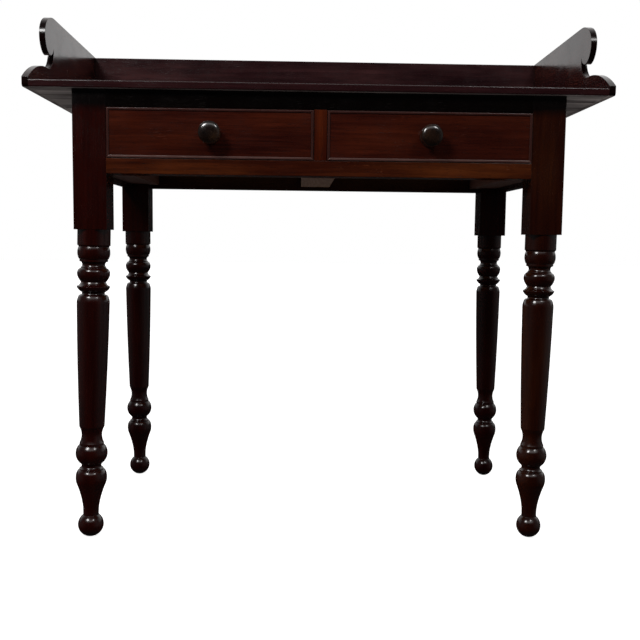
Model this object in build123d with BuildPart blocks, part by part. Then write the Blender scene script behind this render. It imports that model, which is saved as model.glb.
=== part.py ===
"""A two-drawer sewing desk on turned legs, with a scrolled gallery round its top.

Units are millimetres. Z is up, X runs along the desk and the front faces -Y.
The origin is on the floor, under the middle of the desk's overall box.
Every piece of wood, knob, nail and screw is a solid of its own in its own file.
"""
from build123d import *
from math import sqrt
import os

os.makedirs("parts", exist_ok=True)

# ---------------------------------------------------------------- driving sizes
leg_square = 52.4            # section of a leg's square block
leg_height = 721.0           # floor to the underside of the top
block_length = 217.5         # square block, from the leg's top down
frame_width = 774.1          # over the legs, side to side
frame_depth = 433.0          # over the legs, front to back
arris = 1.0                  # softened corner of show wood

top_thickness = 11.0
front_overhang = 11.0        # of the top, beyond the front legs
rear_overhang = 5.0          # of the top, beyond the rear legs
side_overhang = 63.1         # of the top, beyond the outer faces of the legs
front_board_width = 73.0     # the narrow board glued on along the front

gallery_thickness = 10.0
gallery_height = 133.5       # back board, from the underside of the top

apron_height = 130.0
apron_thickness = 19.0
apron_setback = 1.5          # aprons stand back from the legs' faces
tenon_thickness = 9.0
tenon_length = 27.0
tenon_shoulder = 10.0        # above and below an apron's tenon

upper_rail_height = 27.0
upper_rail_depth = 76.0
rail_dovetail_length = 28.0
rail_dovetail_neck = 24.0
rail_dovetail_tip = 32.0
lower_rail_height = 24.5
lower_rail_depth = 42.0
rail_tenon_length = 24.0
rail_tenon_spacing = 20.0    # between the middles of the twin tenons
divider_width = 20.5
divider_tenon_length = 9.0
divider_tenon_depth = 22.0

runner_thickness = 17.5
centre_runner_width = 58.0
side_runner_lap = 17.0       # how far a side strip reaches under a drawer
guide_height = 14.0
stub_tenon_length = 7.0
stub_tenon_thickness = 8.0
stub_tenon_width = 34.0

stop_length = 58.0
stop_top_length = 44.0
stop_height = 8.0
stop_depth = 20.0
stop_spacing = 152.0         # between the middles of a drawer's two stops

block_width = 97.0           # rub blocks behind the back apron's top edge
block_depth = 22.0
block_spacing = 235.0

drawer_front_thickness = 19.5
drawer_side_thickness = 11.0
drawer_side_drop = 1.2       # sides are this much lower than the front
drawer_lap = 7.0             # wood left in front of the dovetails
half_pin = 11.0              # widths of the pins at their thick ends
full_pin = 11.0
pin_flare = 2.0              # taper of a pin on each slanting side
rear_half_pin = 8.0
bottom_recess = 10.0         # hollow under the drawer's bottom boards
bottom_thickness = 8.0
bottom_edge = 3.6            # thickness of the feathered edge
bottom_bevel = 26.0          # width of the bevel that feathers it
front_board_share = 0.66     # of a drawer's length, under the bottom's front board
groove_depth = 5.0
groove_height = 4.6

bead_width = 4.2
bead_depth = 5.5
bead_proud = 1.6
bead_round = 1.3

knob_reach = 28.0
knob_head_r = 17.5
knob_head_from_face = 18.5   # drawer face to the widest part of the head
knob_collar_r = 16.0
knob_collar_thickness = 2.5
knob_waist_r = 8.0
knob_waist_from_face = 9.5
knob_tenon_r = 6.5

nail_shank_r = 1.2
nail_head_r = 2.6
nail_head_thickness = 1.2
nail_length = 34.0
bottom_nail_length = 26.0
screw_shank_r = 2.1
screw_head_r = 4.2
screw_head_height = 3.0
screw_length = 25.0
counterbore_depth = 9.0      # below each screw head
fixing_spacing = 270.0       # between the screws along the upper rail

# ------------------------------------------------------------------- clearances
side_gap = 0.5               # beside a drawer
under_gap = 0.4              # drawer above its runners
over_gap = 0.9               # drawer front below the upper rail
stop_gap = 0.4               # drawer front before its stops
rear_gap = 17.5              # closed drawer before the back apron

# ------------------------------------------- turned leg, from the foot upwards
foot_ball_r = 20.0
foot_ball_z = 19.3
ankle_r = 12.1
ankle_top = 41.0
vase_waist_r = 14.9
vase_waist_z = 63.5
vase_hip_r = 20.9
vase_hip_z = 84.0
vase_r = 24.1
vase_z = 98.3
vase_shoulder_r = 19.8
vase_shoulder_z = 111.5
collar_r = 18.6
collar_z = 113.8
throat_r = 15.2
throat_z = 119.4
ball_foot_r = 16.3
ball_foot_z = 121.9
ball_r = 24.6
ball_z = 138.0
ball_top_r = 19.8
ball_top_z = 152.5
ball_fillet_r = 18.7
ball_fillet_z = 156.5
hollow_r = 15.6
hollow_z = 168.5
hollow_top_r = 17.8
hollow_top_z = 180.5
shaft_foot_r = 19.4
shaft_foot_z = 184.0
shaft_middle_r = 22.9
shaft_top_r = 25.0

# ------------------- turned leg, measured downwards from the end of the block
neck_r = 25.0
neck_sunk = 2.0              # the neck is carried this far up inside the block
neck_length = 24.5
quirk_r = 23.0
quirk_drop = 26.5
bead_1_drop = 27.5
bead_1_r = 24.8
bead_1_middle = 37.2
bead_1_foot_r = 22.4
bead_1_foot = 46.6
fillet_r = 21.4
fillet_foot = 50.8
cove_top_r = 20.2
cove_r = 17.3
cove_middle = 55.8
cove_foot_r = 19.4
cove_foot = 60.2
bead_2_top_r = 20.6
bead_2_top = 61.6
bead_2_r = 24.9
bead_2_middle = 70.4
bead_2_foot_r = 18.9
bead_2_foot = 83.8
ring_hollow_r = 20.4
ring_hollow = 87.0
ring_r = 25.1
ring_edge = 90.6
ring_lip = 1.2
ring_belly_r = 23.2
ring_belly = 95.4
ring_foot_r = 18.2
ring_foot = 99.6
neck_cove_r = 17.2
neck_cove = 101.8
neck_cove_foot_r = 18.8
neck_cove_foot = 104.4
shoulder_top_r = 20.2
shoulder_round_r = 23.6
shoulder_round = 109.6
shoulder_foot = 117.0

# ----------------- how the four turnings differ: fullness against the pattern, and
# ----------------- how much further out than its block a foot stands
front_left_fullness = 1.04
front_left_lean = 12.0
front_right_lean = -4.4
rear_right_fullness = 0.96
rear_right_lean = 1.8

# -------------------- gallery scroll, from the end board's front lower corner
toe_height = 14.7            # plain upright edge at the front
toe_corner = 4.4             # its rounded lower corner
toe_round_run = 32.0
toe_round_rise = 32.5
valley_run = 109.0
valley_rise = 47.7
throat_run = 140.3
throat_rise = 67.2
cusp_run = 145.5
cusp_rise = 87.8
lobe_front_run = 96.2        # foremost point of the lobe
lobe_front_rise = 100.8
lobe_back_run = 150.0        # where its top runs out into the sloping upper edge
lobe_top_rise = 137.0
lobe_r = 29.0                # its round lower part

# ---------------------------------------------------------------- derived planes
front_y = -(frame_depth + rear_overhang + gallery_thickness - knob_reach) / 2
rear_y = front_y + frame_depth
leg_in_x = frame_width / 2 - leg_square          # inner faces of the legs
leg_out_x = frame_width / 2
leg_mid_x = leg_out_x - leg_square / 2
front_leg_back = front_y + leg_square
rear_leg_front = rear_y - leg_square
block_foot = leg_height - block_length

apron_foot = leg_height - apron_height
apron_out_x = leg_out_x - apron_setback
apron_in_x = apron_out_x - apron_thickness
back_apron_out = rear_y - apron_setback
back_apron_in = back_apron_out - apron_thickness

upper_rail_foot = leg_height - upper_rail_height
upper_rail_back = front_y + upper_rail_depth
lower_rail_top = apron_foot + lower_rail_height
lower_rail_back = front_y + lower_rail_depth
runner_foot = lower_rail_top - runner_thickness
guide_top = lower_rail_top + guide_height
strip_in_x = leg_in_x - side_runner_lap

top_y0 = front_y - front_overhang
top_y1 = rear_y + rear_overhang
top_x = leg_out_x + side_overhang
top_surface = leg_height + top_thickness
gallery_out_x = top_x + gallery_thickness
gallery_out_y = top_y1 + gallery_thickness
gallery_top = leg_height + gallery_height

bay_width = leg_in_x - divider_width / 2
bay_mid_x = (leg_in_x + divider_width / 2) / 2
drawer_width = bay_width - 2 * side_gap
drawer_foot = lower_rail_top + under_gap
drawer_front_top = upper_rail_foot - over_gap
drawer_side_top = drawer_front_top - drawer_side_drop
drawer_front_back = front_y + drawer_front_thickness
drawer_back = back_apron_in - rear_gap
drawer_length = drawer_back - front_y
bottom_top = drawer_foot + bottom_recess + bottom_thickness
knob_z = (drawer_foot + drawer_front_top) / 2


def slab(low, high, mode=Mode.ADD):
    """A square-edged block between two opposite corners."""
    size = [b - a for a, b in zip(low, high)]
    with Locations(low):
        Box(*size, align=(Align.MIN, Align.MIN, Align.MIN), mode=mode)


def both(side, near, far):
    """The low and high X of a piece that lies from near to far on one side."""
    return sorted((side * near, side * far))


def peg(point, direction, radius, length, mode=Mode.ADD):
    """A round bar from a point along a direction."""
    with Locations(Plane(origin=point, z_dir=direction)):
        Cylinder(radius, length, align=(Align.CENTER, Align.CENTER, Align.MIN), mode=mode)


def save(piece, name):
    """Label a finished piece and write its file."""
    piece.part.label = name
    export_step(piece.part, f"parts/{name}.step")


# ------------------------------------------------------------------------- legs
def leg_outline(fullness):
    """Half outline of the turned part, from the ball foot up to the shaft's head."""
    def at(radius, height):
        return radius * fullness, height

    foot_tip = foot_ball_z - foot_ball_r
    ankle_foot = foot_ball_z + sqrt(foot_ball_r**2 - ankle_r**2)
    shaft_head = block_foot - shoulder_foot
    shaft_middle = (shaft_foot_z + shaft_head) / 2
    Line(at(0, block_foot + neck_sunk), at(0, foot_tip))
    ThreePointArc(at(0, foot_tip), at(foot_ball_r, foot_ball_z), at(ankle_r, ankle_foot))
    Line(at(ankle_r, ankle_foot), at(ankle_r, ankle_top))
    Spline(
        at(ankle_r, ankle_top), at(vase_waist_r, vase_waist_z), at(vase_hip_r, vase_hip_z),
        at(vase_r, vase_z), tangents=((0, 1), (0, 1)),
    )
    Spline(at(vase_r, vase_z), at(vase_shoulder_r, vase_shoulder_z), tangents=((0, 1), (-1, 0.9)))
    Polyline(
        at(vase_shoulder_r, vase_shoulder_z), at(collar_r, vase_shoulder_z), at(collar_r, collar_z)
    )
    ThreePointArc(at(collar_r, collar_z), at(throat_r, throat_z), at(ball_foot_r, ball_foot_z))
    ThreePointArc(at(ball_foot_r, ball_foot_z), at(ball_r, ball_z), at(ball_top_r, ball_top_z))
    Polyline(
        at(ball_top_r, ball_top_z), at(ball_fillet_r, ball_top_z), at(ball_fillet_r, ball_fillet_z)
    )
    ThreePointArc(
        at(ball_fillet_r, ball_fillet_z), at(hollow_r, hollow_z), at(hollow_top_r, hollow_top_z)
    )
    Line(at(hollow_top_r, hollow_top_z), at(shaft_foot_r, shaft_foot_z))
    ThreePointArc(
        at(shaft_foot_r, shaft_foot_z), at(shaft_middle_r, shaft_middle), at(shaft_top_r, shaft_head)
    )


def leg_collar_outline(fullness):
    """Half outline of the beads and coves under the square block."""
    def drop(radius, below):
        return radius * fullness, block_foot - below

    Spline(
        drop(shaft_top_r, shoulder_foot), drop(shoulder_round_r, shoulder_round),
        drop(shoulder_top_r, neck_cove_foot), tangents=((0, 1), (-1, 0.35)),
    )
    Line(drop(shoulder_top_r, neck_cove_foot), drop(neck_cove_foot_r, neck_cove_foot))
    ThreePointArc(
        drop(neck_cove_foot_r, neck_cove_foot), drop(neck_cove_r, neck_cove), drop(ring_foot_r, ring_foot)
    )
    ThreePointArc(
        drop(ring_foot_r, ring_foot), drop(ring_belly_r, ring_belly), drop(ring_r, ring_edge + ring_lip)
    )
    Line(drop(ring_r, ring_edge + ring_lip), drop(ring_r, ring_edge))
    ThreePointArc(
        drop(ring_r, ring_edge), drop(ring_hollow_r, ring_hollow), drop(bead_2_foot_r, bead_2_foot)
    )
    Spline(
        drop(bead_2_foot_r, bead_2_foot), drop(bead_2_r, bead_2_middle), drop(bead_2_top_r, bead_2_top),
        tangents=((0.75, 1), (-1, 0.55)),
    )
    Polyline(
        drop(bead_2_top_r, bead_2_top), drop(cove_foot_r, bead_2_top), drop(cove_foot_r, cove_foot)
    )
    ThreePointArc(
        drop(cove_foot_r, cove_foot), drop(cove_r, cove_middle), drop(cove_top_r, fillet_foot)
    )
    Polyline(
        drop(cove_top_r, fillet_foot), drop(fillet_r, fillet_foot), drop(fillet_r, bead_1_foot),
        drop(bead_1_foot_r, bead_1_foot),
    )
    ThreePointArc(
        drop(bead_1_foot_r, bead_1_foot), drop(bead_1_r, bead_1_middle), drop(quirk_r, bead_1_drop)
    )
    Polyline(
        drop(quirk_r, bead_1_drop), drop(quirk_r, quirk_drop), drop(neck_r, neck_length),
        drop(neck_r, -neck_sunk), drop(0, -neck_sunk),
    )


def side_apron_tenon(side, face, inward, mode):
    """Tenon of a side apron, let into a leg from the given Y face."""
    low_x, high_x = both(side, apron_in_x + tenon_shoulder / 2, apron_in_x + tenon_shoulder / 2 + tenon_thickness)
    low_y, high_y = sorted((face, face + inward * tenon_length))
    slab(
        (low_x, low_y, apron_foot + tenon_shoulder),
        (high_x, high_y, leg_height - upper_rail_height - tenon_shoulder), mode,
    )


def back_apron_tenon(side, mode):
    """Tenon of the back apron, let into a rear leg."""
    low_x, high_x = both(side, leg_in_x, leg_in_x + tenon_length)
    middle = (back_apron_in + back_apron_out) / 2
    slab(
        (low_x, middle - tenon_thickness / 2, apron_foot + tenon_shoulder),
        (high_x, middle + tenon_thickness / 2, leg_height - upper_rail_height - tenon_shoulder), mode,
    )


def lower_rail_tenons(side, mode):
    """Twin tenons of the lower front rail, let into a front leg."""
    low_x, high_x = both(side, leg_in_x, leg_in_x + rail_tenon_length)
    middle = front_y + lower_rail_depth / 2
    for shift in (-rail_tenon_spacing / 2, rail_tenon_spacing / 2):
        slab(
            (low_x, middle + shift - tenon_thickness / 2, apron_foot),
            (high_x, middle + shift + tenon_thickness / 2, lower_rail_top), mode,
        )


def rail_dovetail(side):
    """Plan of the dovetail that locks the upper rail down into a front leg."""
    middle = front_y + leg_square / 2
    neck = rail_dovetail_neck / 2
    tip = rail_dovetail_tip / 2
    reach = side * (leg_in_x + rail_dovetail_length)
    Polygon(
        (side * leg_in_x, middle - neck), (side * leg_in_x, middle + neck),
        (reach, middle + tip), (reach, middle - tip), align=None,
    )


def make_leg(name, side, front, fullness=1, lean=0):
    """One leg, turned from the square, with the mortises for its own corner."""
    middle_x = side * leg_mid_x
    middle_y = front_y + leg_square / 2 if front else rear_y - leg_square / 2
    foot_x = middle_x + side * lean
    foot_reach = 2 * foot_ball_r
    turning = Plane(
        origin=(foot_x, middle_y, 0), x_dir=(block_foot, 0, side * lean), z_dir=(0, -1, 0)
    )
    with BuildPart() as leg:
        slab(
            (middle_x - leg_square / 2, middle_y - leg_square / 2, block_foot),
            (middle_x + leg_square / 2, middle_y + leg_square / 2, leg_height),
        )
        fillet(leg.edges().filter_by(Axis.Z), arris)
        with BuildSketch(turning):
            with BuildLine():
                leg_outline(fullness)
                leg_collar_outline(fullness)
            make_face()
        revolve(axis=Axis(turning.origin, turning.y_dir))
        slab(
            (foot_x - foot_reach, middle_y - foot_reach, -foot_reach),
            (foot_x + foot_reach, middle_y + foot_reach, 0), Mode.SUBTRACT,
        )
        if front:
            side_apron_tenon(side, front_leg_back, -1, Mode.SUBTRACT)
            lower_rail_tenons(side, Mode.SUBTRACT)
            with BuildSketch(Plane.XY.offset(upper_rail_foot)):
                rail_dovetail(side)
            extrude(amount=upper_rail_height, mode=Mode.SUBTRACT)
        else:
            side_apron_tenon(side, rear_leg_front, 1, Mode.SUBTRACT)
            back_apron_tenon(side, Mode.SUBTRACT)
    save(leg, name)


make_leg("leg_front_left", -1, True, front_left_fullness, front_left_lean)
make_leg("leg_front_right", 1, True, lean=front_right_lean)
make_leg("leg_rear_left", -1, False)
make_leg("leg_rear_right", 1, False, rear_right_fullness, rear_right_lean)


# ------------------------------------------------------------------ front rails
def divider_tenon(foot, top, mode):
    """Tenon of the divider between the drawers."""
    middle = front_y + lower_rail_depth / 2
    slab(
        (-tenon_thickness / 2, middle - divider_tenon_depth / 2, foot),
        (tenon_thickness / 2, middle + divider_tenon_depth / 2, top), mode,
    )


def stub_tenon(face, middle_z, mode):
    """Stub tenon of a centre strip, let into a front rail's back edge."""
    slab(
        (-stub_tenon_width / 2, face - stub_tenon_length, middle_z - stub_tenon_thickness / 2),
        (stub_tenon_width / 2, face, middle_z + stub_tenon_thickness / 2), mode,
    )


runner_mid_z = lower_rail_top - runner_thickness / 2
kicker_mid_z = leg_height - upper_rail_height / 2
rail_screw_y = front_y + lower_rail_depth
kicker_screw_x = (strip_in_x + apron_in_x) / 2
kicker_screw_y = rear_leg_front - leg_square
screw_places = [(x, rail_screw_y) for x in (-fixing_spacing, 0, fixing_spacing)]
screw_places += [(side * kicker_screw_x, kicker_screw_y) for side in (-1, 1)]


def screw_room(places, mode):
    """Screws with their heads sunk in counterbores, or the holes they need."""
    for x, y in places:
        head_z = upper_rail_foot + counterbore_depth
        peg((x, y, head_z), (0, 0, 1), screw_shank_r, screw_length, mode)
        with Locations((x, y, head_z + screw_head_height / 2)):
            Cone(screw_head_r, screw_shank_r, screw_head_height, mode=mode)


def make_upper_rail():
    """Upper front rail, laid flat: dovetailed into the legs and wider behind them."""
    with BuildPart() as upper_rail:
        slab((-leg_in_x, front_y, upper_rail_foot), (leg_in_x, upper_rail_back, leg_height))
        slab((-apron_in_x, front_leg_back, upper_rail_foot), (apron_in_x, upper_rail_back, leg_height))
        with BuildSketch(Plane.XY.offset(upper_rail_foot)):
            rail_dovetail(-1)
            rail_dovetail(1)
        extrude(amount=upper_rail_height)
        divider_tenon(upper_rail_foot, upper_rail_foot + divider_tenon_length, Mode.SUBTRACT)
        stub_tenon(upper_rail_back, kicker_mid_z, Mode.SUBTRACT)
        rail_screws = screw_places[:3]
        screw_room(rail_screws, Mode.SUBTRACT)
        for x, y in rail_screws:
            peg((x, y, upper_rail_foot), (0, 0, 1), screw_head_r, counterbore_depth, Mode.SUBTRACT)
    save(upper_rail, "front_rail_upper")


def make_lower_rail():
    """Lower front rail, laid flat, with twin tenons at each end."""
    with BuildPart() as lower_rail:
        slab((-leg_in_x, front_y, apron_foot), (leg_in_x, lower_rail_back, lower_rail_top))
        fillet(lower_rail.edges().filter_by(Axis.X).group_by(Axis.Y)[0], arris)
        for side in (-1, 1):
            lower_rail_tenons(side, Mode.ADD)
        divider_tenon(lower_rail_top - divider_tenon_length, lower_rail_top, Mode.SUBTRACT)
        stub_tenon(lower_rail_back, runner_mid_z, Mode.SUBTRACT)
    save(lower_rail, "front_rail_lower")


def make_divider():
    """Upright between the two drawers, tenoned into both rails."""
    with BuildPart() as divider:
        slab(
            (-divider_width / 2, front_y, lower_rail_top),
            (divider_width / 2, lower_rail_back, upper_rail_foot),
        )
        fillet(divider.edges().filter_by(Axis.Z).group_by(Axis.Y)[0], arris)
        divider_tenon(lower_rail_top - divider_tenon_length, lower_rail_top, Mode.ADD)
        divider_tenon(upper_rail_foot, upper_rail_foot + divider_tenon_length, Mode.ADD)
    save(divider, "drawer_divider")


make_upper_rail()
make_lower_rail()
make_divider()


# ----------------------------------------------------------------------- aprons
def make_side_apron(name, side):
    """Side apron, tenoned into the front and rear legs."""
    low_x, high_x = both(side, apron_in_x, apron_out_x)
    with BuildPart() as apron:
        slab((low_x, front_leg_back, apron_foot), (high_x, rear_leg_front, leg_height))
        foot_edges = apron.edges().filter_by(Axis.Y).group_by(Axis.Z)[0]
        fillet(foot_edges, arris)
        side_apron_tenon(side, front_leg_back, -1, Mode.ADD)
        side_apron_tenon(side, rear_leg_front, 1, Mode.ADD)
    save(apron, name)


def centre_runner_end(mode):
    """Rear end of the centre runner, housed in the back apron."""
    slab(
        (-centre_runner_width / 2, back_apron_in, runner_foot),
        (centre_runner_width / 2, back_apron_in + stub_tenon_length, lower_rail_top), mode,
    )


def make_back_apron():
    """Back apron, tenoned into the rear legs and housed for the centre runner."""
    with BuildPart() as apron:
        slab((-leg_in_x, back_apron_in, apron_foot), (leg_in_x, back_apron_out, leg_height))
        fillet(apron.edges().filter_by(Axis.X).group_by(Axis.Z)[0], arris)
        for side in (-1, 1):
            back_apron_tenon(side, Mode.ADD)
        centre_runner_end(Mode.SUBTRACT)
    save(apron, "back_apron")


make_side_apron("side_apron_left", -1)
make_side_apron("side_apron_right", 1)
make_back_apron()


# ------------------------------------------------- runners, guides and kickers
def make_side_runner(name, side):
    """Strip under a drawer's outer side, notched round both legs."""
    low_x, high_x = both(side, strip_in_x, leg_in_x)
    wide_low, wide_high = both(side, strip_in_x, apron_in_x)
    with BuildPart() as runner:
        slab((low_x, lower_rail_back, runner_foot), (high_x, back_apron_in, lower_rail_top))
        slab((wide_low, front_leg_back, runner_foot), (wide_high, rear_leg_front, lower_rail_top))
    save(runner, name)


def make_centre_runner():
    """Wide strip under both drawers' inner sides."""
    with BuildPart() as runner:
        slab(
            (-centre_runner_width / 2, lower_rail_back, runner_foot),
            (centre_runner_width / 2, back_apron_in, lower_rail_top),
        )
        stub_tenon(lower_rail_back, runner_mid_z, Mode.ADD)
        centre_runner_end(Mode.ADD)
    save(runner, "runner_centre")


def make_side_guide(name, side):
    """Strip on a side runner that keeps the drawer straight."""
    low_x, high_x = both(side, leg_in_x, apron_in_x)
    with BuildPart() as guide:
        slab((low_x, front_leg_back, lower_rail_top), (high_x, rear_leg_front, guide_top))
        chamfer(guide.edges().filter_by(Axis.Y).group_by(Axis.Z)[-1], arris)
    save(guide, name)


def make_centre_guide():
    """Strip on the centre runner, in line with the divider."""
    with BuildPart() as guide:
        slab((-divider_width / 2, lower_rail_back, lower_rail_top), (divider_width / 2, back_apron_in, guide_top))
        chamfer(guide.edges().filter_by(Axis.Y).group_by(Axis.Z)[-1], arris)
    save(guide, "guide_centre")


def make_side_kicker(name, side):
    """Strip over a drawer's outer side, which stops the open drawer tipping."""
    low_x, high_x = both(side, strip_in_x, leg_in_x)
    wide_low, wide_high = both(side, strip_in_x, apron_in_x)
    screw_place = [(side * kicker_screw_x, kicker_screw_y)]
    with BuildPart() as kicker:
        slab((low_x, upper_rail_back, upper_rail_foot), (high_x, back_apron_in, leg_height))
        slab((wide_low, upper_rail_back, upper_rail_foot), (wide_high, rear_leg_front, leg_height))
        screw_room(screw_place, Mode.SUBTRACT)
        for x, y in screw_place:
            peg((x, y, upper_rail_foot), (0, 0, 1), screw_head_r, counterbore_depth, Mode.SUBTRACT)
    save(kicker, name)


def make_centre_kicker():
    """Strip over both drawers' inner sides."""
    with BuildPart() as kicker:
        slab(
            (-centre_runner_width / 2, upper_rail_back, upper_rail_foot),
            (centre_runner_width / 2, back_apron_in, leg_height),
        )
        stub_tenon(upper_rail_back, kicker_mid_z, Mode.ADD)
    save(kicker, "kicker_centre")


make_side_runner("runner_left", -1)
make_side_runner("runner_right", 1)
make_centre_runner()
make_side_guide("guide_left", -1)
make_side_guide("guide_right", 1)
make_centre_guide()
make_side_kicker("kicker_left", -1)
make_side_kicker("kicker_right", 1)
make_centre_kicker()


# ------------------------------------------------------- stops and glue blocks
def make_drawer_stops():
    """Two bevelled stops for each drawer, glued on the lower rail."""
    low_y = drawer_front_back + stop_gap
    with BuildPart() as stops:
        with BuildSketch(Plane.XZ.offset(-low_y)):
            for side in (-1, 1):
                for shift in (-stop_spacing / 2, stop_spacing / 2):
                    middle = side * bay_mid_x + shift
                    Polygon(
                        (middle - stop_length / 2, lower_rail_top), (middle + stop_length / 2, lower_rail_top),
                        (middle + stop_top_length / 2, lower_rail_top + stop_height),
                        (middle - stop_top_length / 2, lower_rail_top + stop_height), align=None,
                    )
        extrude(amount=-stop_depth)
    save(stops, "drawer_stops")


def make_glue_blocks():
    """Rub blocks in the corner of the back apron and the top."""
    with BuildPart() as blocks:
        for shift in (-block_spacing / 2, block_spacing / 2):
            slab(
                (shift - block_width / 2, back_apron_in - block_depth, upper_rail_foot),
                (shift + block_width / 2, back_apron_in, leg_height),
            )
        chamfer(blocks.edges().filter_by(Axis.X).group_by(Axis.Z)[0].group_by(Axis.Y)[0], arris)
    save(blocks, "glue_blocks")


def make_top_screws():
    """Screws that draw the top down on the rail and the kickers."""
    with BuildPart() as screws:
        screw_room(screw_places, Mode.ADD)
    save(screws, "top_screws")


make_drawer_stops()
make_glue_blocks()
make_top_screws()

# -------------------------------------------------------------- top and gallery
side_nail_ys = [top_y0 + (top_y1 - top_y0) * step / 8 for step in (1, 3, 5, 7)]
back_nail_xs = [top_x * step / 3 for step in (-2, -1, 0, 1, 2)]
corner_nail_zs = [leg_height + gallery_height * step / 4 for step in (1, 3)]
top_mid_z = leg_height + top_thickness / 2
gallery_mid_y = top_y1 + gallery_thickness / 2


def nail(point, direction, mode):
    """A flush nail, or the hole it fills."""
    peg(point, direction, nail_head_r, nail_head_thickness, mode)
    peg(point, direction, nail_shank_r, nail_length, mode)


def side_nails(side, mode):
    """Nails through a gallery end: into the top's end and the back board's end."""
    for y in side_nail_ys:
        nail((side * gallery_out_x, y, top_mid_z), (-side, 0, 0), mode)
    for z in corner_nail_zs:
        nail((side * gallery_out_x, gallery_mid_y, z), (-side, 0, 0), mode)


def back_nails(mode):
    """Nails through the gallery back, into the top's rear edge."""
    for x in back_nail_xs:
        nail((x, gallery_out_y, top_mid_z), (0, -1, 0), mode)


def make_top_front_board():
    """Narrow front board of the top, with a softened front edge."""
    with BuildPart() as board:
        slab((-top_x, top_y0, leg_height), (top_x, top_y0 + front_board_width, top_surface))
        fillet(board.edges().filter_by(Axis.X).group_by(Axis.Y)[0], 1.5 * arris)
        screw_room(screw_places, Mode.SUBTRACT)
        for side in (-1, 1):
            side_nails(side, Mode.SUBTRACT)
    save(board, "top_board_front")


def make_top_rear_board():
    """Wide main board of the top."""
    with BuildPart() as board:
        slab((-top_x, top_y0 + front_board_width, leg_height), (top_x, top_y1, top_surface))
        screw_room(screw_places, Mode.SUBTRACT)
        for side in (-1, 1):
            side_nails(side, Mode.SUBTRACT)
        back_nails(Mode.SUBTRACT)
    save(board, "top_board_rear")


def scroll_outline():
    """Outline of a gallery end: a full lobe over a cusp, a throat and a toe."""
    def at(run, rise):
        return top_y0 + run, leg_height + rise

    lobe_mid_run = lobe_front_run + lobe_r
    slant = lobe_r / sqrt(2)
    under_run = lobe_mid_run - 0.25 * lobe_r
    under_rise = lobe_front_rise - sqrt(lobe_r**2 - (0.25 * lobe_r)**2)
    Polyline(
        at(lobe_back_run, lobe_top_rise), (gallery_out_y, gallery_top), (gallery_out_y, leg_height),
        at(toe_corner, 0),
    )
    TangentArc(at(toe_corner, 0), at(0, toe_corner), tangent=(-1, 0))
    Line(at(0, toe_corner), at(0, toe_height))
    ThreePointArc(at(0, toe_height), at(toe_round_run, toe_round_rise), at(valley_run, valley_rise))
    ThreePointArc(at(valley_run, valley_rise), at(throat_run, throat_rise), at(cusp_run, cusp_rise))
    EllipticalCenterArc(
        at(lobe_back_run, lobe_front_rise), lobe_back_run - lobe_front_run, lobe_top_rise - lobe_front_rise,
        start_angle=90, arc_size=90,
    )
    lobe = ThreePointArc(
        at(lobe_front_run, lobe_front_rise), at(lobe_mid_run - slant, lobe_front_rise - slant),
        at(under_run, under_rise),
    )
    TangentArc(lobe @ 1, at(cusp_run, cusp_rise), tangent=lobe % 1)


def make_gallery_end(name, side):
    """Gallery end board, cut to the scroll and nailed on the top's end."""
    with BuildPart() as end:
        with BuildSketch(Plane.YZ.offset(side * top_x)):
            with BuildLine():
                scroll_outline()
            make_face()
        extrude(amount=side * gallery_thickness)
        side_nails(side, Mode.SUBTRACT)
    save(end, name)


def make_gallery_back():
    """Gallery back board, between the ends and nailed on the top's rear edge."""
    with BuildPart() as back:
        slab((-top_x, top_y1, leg_height), (top_x, gallery_out_y, gallery_top))
        fillet(back.edges().filter_by(Axis.X).group_by(Axis.Z)[-1], arris)
        for side in (-1, 1):
            side_nails(side, Mode.SUBTRACT)
        back_nails(Mode.SUBTRACT)
    save(back, "gallery_back")


def make_gallery_nails():
    """All the nails of the gallery."""
    with BuildPart() as nails:
        for side in (-1, 1):
            side_nails(side, Mode.ADD)
        back_nails(Mode.ADD)
    save(nails, "gallery_nails")


make_top_front_board()
make_top_rear_board()
make_gallery_end("gallery_left", -1)
make_gallery_end("gallery_right", 1)
make_gallery_back()
make_gallery_nails()


# ---------------------------------------------------------------------- drawers
def pin_plan(foot, top, edge_pin, thin_y, thick_y):
    """Dovetail pins on a drawer's corner: a half pin at each edge, one between."""
    middle = (foot + top) / 2
    pins = (
        (foot, foot + edge_pin, 0, pin_flare),
        (middle - full_pin / 2, middle + full_pin / 2, pin_flare, pin_flare),
        (top - edge_pin, top, pin_flare, 0),
    )
    for low, high, low_flare, high_flare in pins:
        Polygon(
            (thin_y, low + low_flare), (thin_y, high - high_flare), (thick_y, high), (thick_y, low),
            align=None,
        )


def front_pins():
    """Pins of the half-blind dovetails between a drawer's front and its sides."""
    pin_plan(drawer_foot, drawer_side_top, half_pin, front_y + drawer_lap, drawer_front_back)


def rear_pins():
    """Pins of the through dovetails between a drawer's back and its sides."""
    pin_plan(bottom_top, drawer_side_top, rear_half_pin, drawer_back, drawer_back - drawer_side_thickness)


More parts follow.
